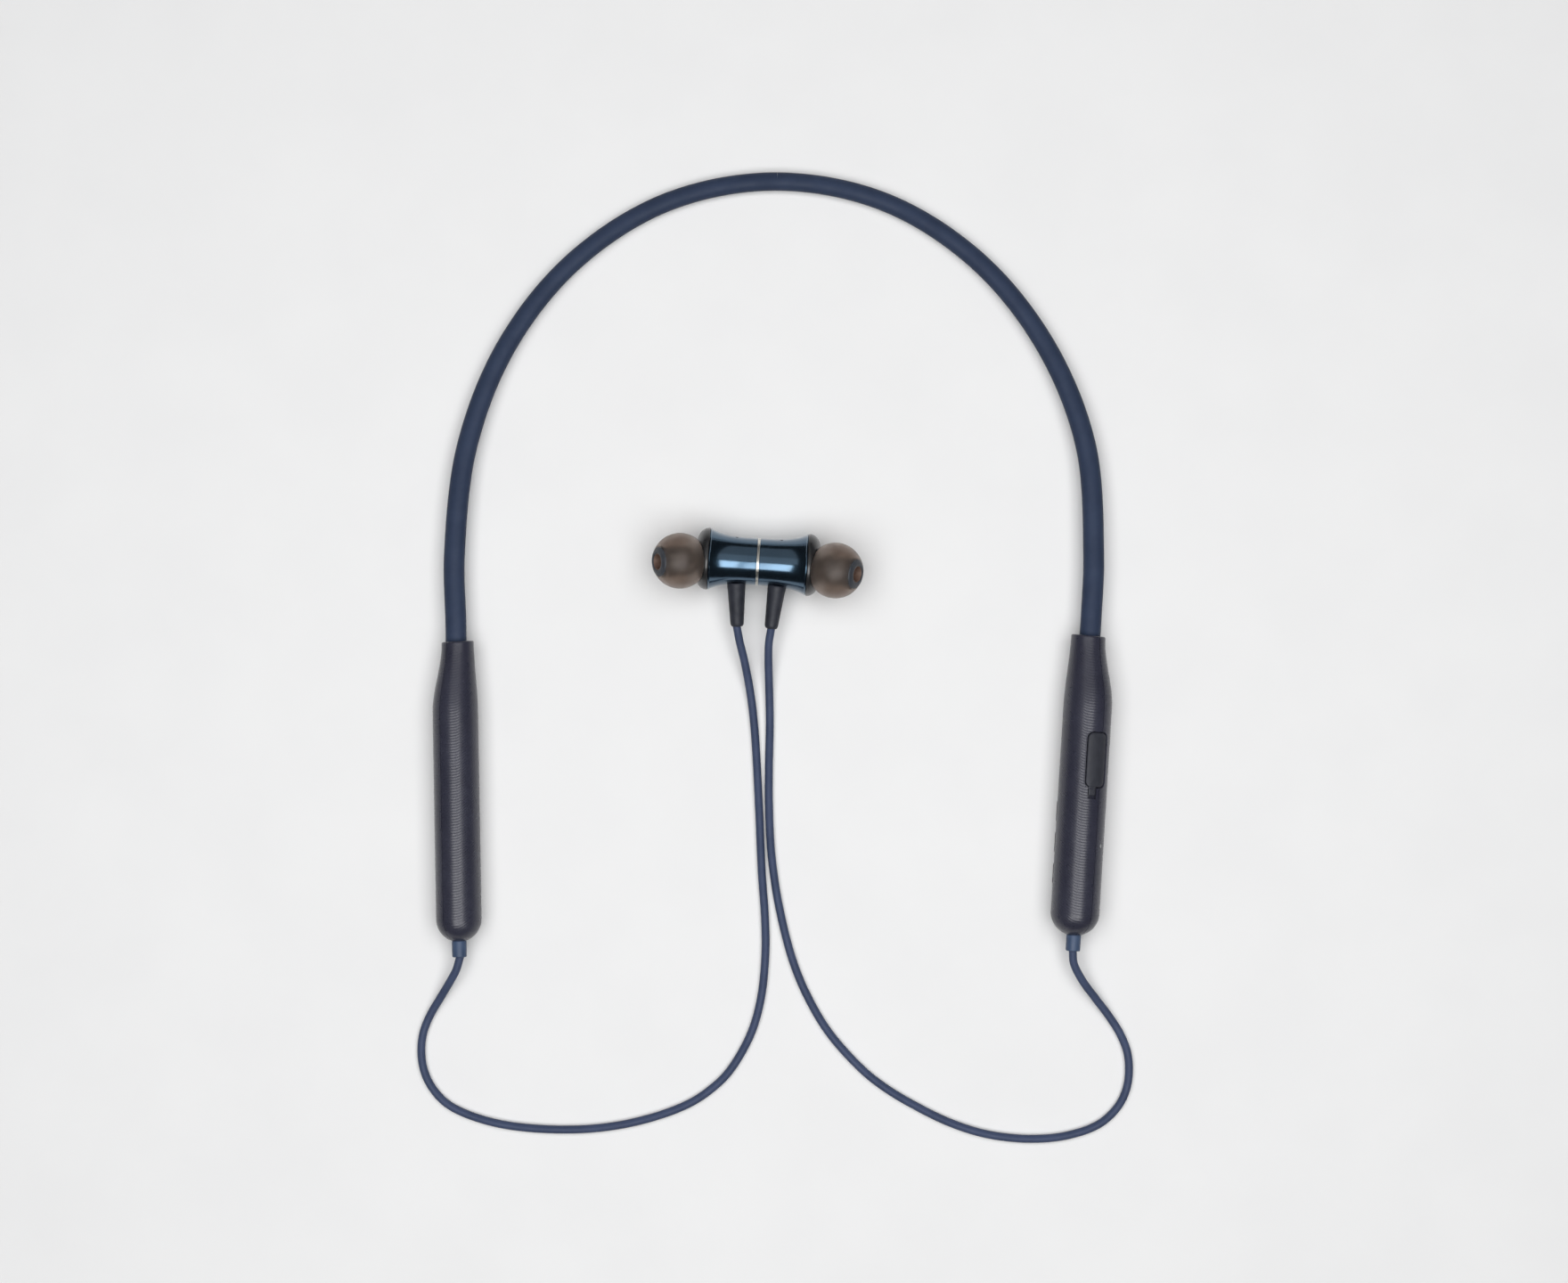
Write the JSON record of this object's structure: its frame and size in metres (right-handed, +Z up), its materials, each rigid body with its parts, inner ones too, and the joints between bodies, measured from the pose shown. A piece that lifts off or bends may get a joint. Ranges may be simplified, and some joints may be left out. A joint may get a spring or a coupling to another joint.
{
  "type": "neckband earphones",
  "caption": "Wireless earphones on a silicone neckband, with a battery barrel, a control barrel and magnetic earbuds on thin cables.",
  "frame": {"origin": "on the surface that the set lies on, under the middle of the neckband, barrels and earbuds, the cables left out", "axes": "+Z up from the surface, +Y towards the crown of the neckband, +X towards the control barrel"},
  "size_m": [0.1616, 0.2191, 0.0178],
  "materials": {
    "band_silicone": "matte moulded silicone, navy blue",
    "barrel_plastic": "fine circumferential ribs, satin navy black",
    "blue_metal": "glossy blue anodised aluminium",
    "pale_metal": "plain bright plate",
    "black_rubber": "matte black rubber",
    "cover_plastic": "polished brown black",
    "tip_silicone": "translucent smoke grey silicone",
    "steel": "plain",
    "circuit_board": "green solder mask",
    "cell_wrap": "shrink film",
    "foam": "open foam",
    "clear_plastic": "clear moulded",
    "brass": "turned",
    "wire_insulation": "smooth insulation"
  },
  "bodies": {
    "neckband": {"neckband_sleeve": "band_silicone", "memory_wire": "steel", "bridge_lead": "wire_insulation"},
    "left_arm": {"left_inner_shell": "barrel_plastic", "left_outer_shell": "barrel_plastic", "battery": "cell_wrap", "battery_foam": "foam", "protection_board": "circuit_board", "left_wire_anchor": "brass", "left_cable_grommet": "band_silicone", "left_cable": "band_silicone"},
    "right_arm": {"right_inner_shell": "barrel_plastic", "right_outer_shell": "barrel_plastic", "main_board": "circuit_board", "shield_can": "steel", "status_led": "clear_plastic", "light_pipe": "clear_plastic", "microphone": "steel", "usb_board": "circuit_board", "usb_socket": "steel", "right_wire_anchor": "brass", "right_cable_grommet": "band_silicone", "right_cable": "band_silicone", "volume_down_switch": "steel", "play_switch": "steel", "volume_up_switch": "steel"},
    "charging_flap": {"usb_flap": "black_rubber"},
    "volume_down_button": {"volume_down_key": "barrel_plastic"},
    "play_button": {"play_key": "barrel_plastic"},
    "volume_up_button": {"volume_up_key": "barrel_plastic"},
    "left_earbud": {"left_housing": "blue_metal", "left_back_plate": "pale_metal", "left_magnet": "steel", "left_driver": "steel", "left_diaphragm": "clear_plastic", "left_front_cover": "cover_plastic", "left_nozzle_mesh": "steel", "left_boot": "black_rubber"},
    "left_tip": {"left_ear_tip": "tip_silicone"},
    "right_earbud": {"right_housing": "blue_metal", "right_back_plate": "pale_metal", "right_magnet": "steel", "right_driver": "steel", "right_diaphragm": "clear_plastic", "right_front_cover": "cover_plastic", "right_nozzle_mesh": "steel", "right_boot": "black_rubber"},
    "right_tip": {"right_ear_tip": "tip_silicone"}
  },
  "joints": [
    {"name": "left_band_flex", "type": "hinge", "parent": "neckband", "child": "left_arm", "pos_m": [-0.0533, 0.0592, 0.0028], "axis": [0, 0, -1], "range_deg": [0, 14], "stiffness_Nm_per_rad": 0.4, "deforming": ["neckband_sleeve", "memory_wire", "bridge_lead"]},
    {"name": "right_band_flex", "type": "hinge", "parent": "neckband", "child": "right_arm", "pos_m": [0.0539, 0.0597, 0.0029], "axis": [0, 0, 1], "range_deg": [0, 14], "stiffness_Nm_per_rad": 0.4, "deforming": ["neckband_sleeve", "memory_wire", "bridge_lead"]},
    {"name": "left_earbud_pull", "type": "slide", "parent": "left_arm", "child": "left_earbud", "axis": [-0.998, 0.0628, 0], "range_m": [0, 0.012], "deforming": ["left_cable"]},
    {"name": "right_earbud_pull", "type": "slide", "parent": "right_arm", "child": "right_earbud", "axis": [0.998, -0.0628, 0], "range_m": [0, 0.012], "deforming": ["right_cable"]},
    {"name": "left_tip_pull", "type": "slide", "parent": "left_earbud", "child": "left_tip", "axis": [-0.8645, -0.0514, 0.5], "range_m": [0, 0.008]},
    {"name": "right_tip_pull", "type": "slide", "parent": "right_earbud", "child": "right_tip", "axis": [0.8512, -0.1593, 0.5], "range_m": [0, 0.008]},
    {"name": "charging_flap_hinge", "type": "hinge", "parent": "right_arm", "child": "charging_flap", "pos_m": [0.07163, -0.05157, 0.0101], "axis": [0.8971, -0.0547, -0.4384], "range_deg": [0, 110]},
    {"name": "volume_down_press", "type": "slide", "parent": "right_arm", "child": "volume_down_button", "axis": [0.8813, -0.0537, 0.4695], "range_m": [0, 0.0003], "stiffness_N_per_m": 1500},
    {"name": "play_press", "type": "slide", "parent": "right_arm", "child": "play_button", "axis": [0.8813, -0.0537, 0.4695], "range_m": [0, 0.0003], "stiffness_N_per_m": 1500},
    {"name": "volume_up_press", "type": "slide", "parent": "right_arm", "child": "volume_up_button", "axis": [0.8813, -0.0537, 0.4695], "range_m": [0, 0.0003], "stiffness_N_per_m": 1500}
  ]
}
